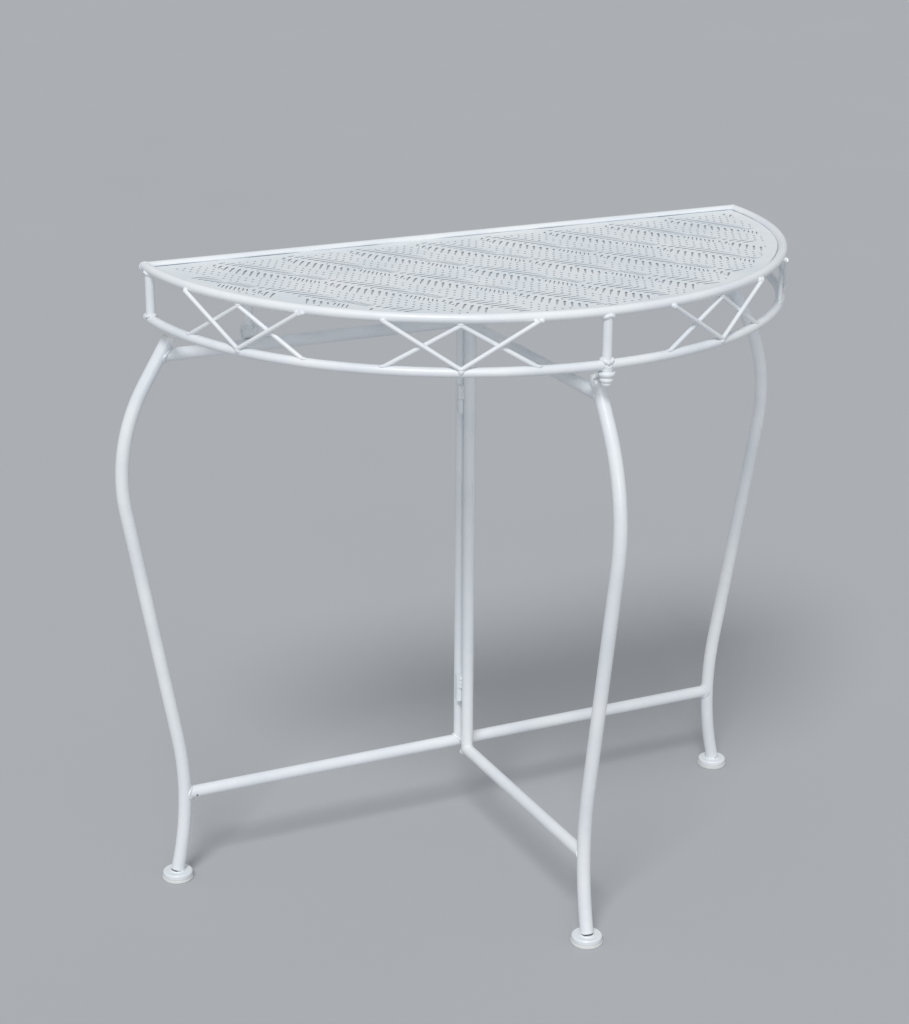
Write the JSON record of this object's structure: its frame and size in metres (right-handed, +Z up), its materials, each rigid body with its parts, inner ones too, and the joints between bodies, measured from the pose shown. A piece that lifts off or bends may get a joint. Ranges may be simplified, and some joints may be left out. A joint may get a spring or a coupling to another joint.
{
  "type": "folding half-round console table",
  "caption": "White metal half-moon wall table with a perforated leaf-pattern top, a rod lattice apron, curved legs and a gate-leg frame that folds flat.",
  "frame": {"origin": "on the floor, under the middle of the bounding box", "axes": "+X runs along the wall to the right, +Y points back to the wall, +Z is up"},
  "size_m": [0.8784, 0.4293, 0.77],
  "materials": {
    "white_paint": "satin",
    "sheet_paint": "satin",
    "white_plastic": "matte"
  },
  "bodies": {
    "back_frame": {"left_leg": "white_paint", "right_leg": "white_paint", "back_upper_rail": "white_paint", "back_lower_rail": "white_paint", "back_post": "white_paint", "left_foot_disc": "white_paint", "right_foot_disc": "white_paint", "left_foot_glide": "white_plastic", "right_foot_glide": "white_plastic", "back_leg_caps": "white_plastic", "frame_gate_knuckles": "white_paint", "gate_hinge_pins": "white_paint", "rail_knuckles": "white_paint", "top_hinge_pins": "white_paint"},
    "front_gate": {"front_leg": "white_paint", "front_post": "white_paint", "front_upper_rail": "white_paint", "front_lower_rail": "white_paint", "front_foot_disc": "white_paint", "front_foot_glide": "white_plastic", "front_leg_cap": "white_plastic", "gate_knuckles": "white_paint", "catch_hook": "white_paint"},
    "table_top": {"rim_arc": "white_paint", "rim_rear_tube": "white_paint", "perforated_panel": "sheet_paint", "apron_hoop": "white_paint", "left_corner_upright": "white_paint", "right_corner_upright": "white_paint", "front_upright": "white_paint", "finial": "white_paint", "left_side_lattice": "white_paint", "left_front_lattice": "white_paint", "right_front_lattice": "white_paint", "right_side_lattice": "white_paint", "left_drop_post": "white_paint", "right_drop_post": "white_paint", "top_knuckles": "white_paint"}
  },
  "joints": [
    {"name": "gate_swing", "type": "hinge", "parent": "back_frame", "child": "front_gate", "pos_m": [-0.00541, 0.17856, 0.38], "axis": [0, 0, 1], "range_deg": [-90, 0]},
    {"name": "top_lift", "type": "hinge", "parent": "back_frame", "child": "table_top", "pos_m": [0, 0.19816, 0.67863], "axis": [-1, 0, 0], "range_deg": [0, 90]}
  ]
}
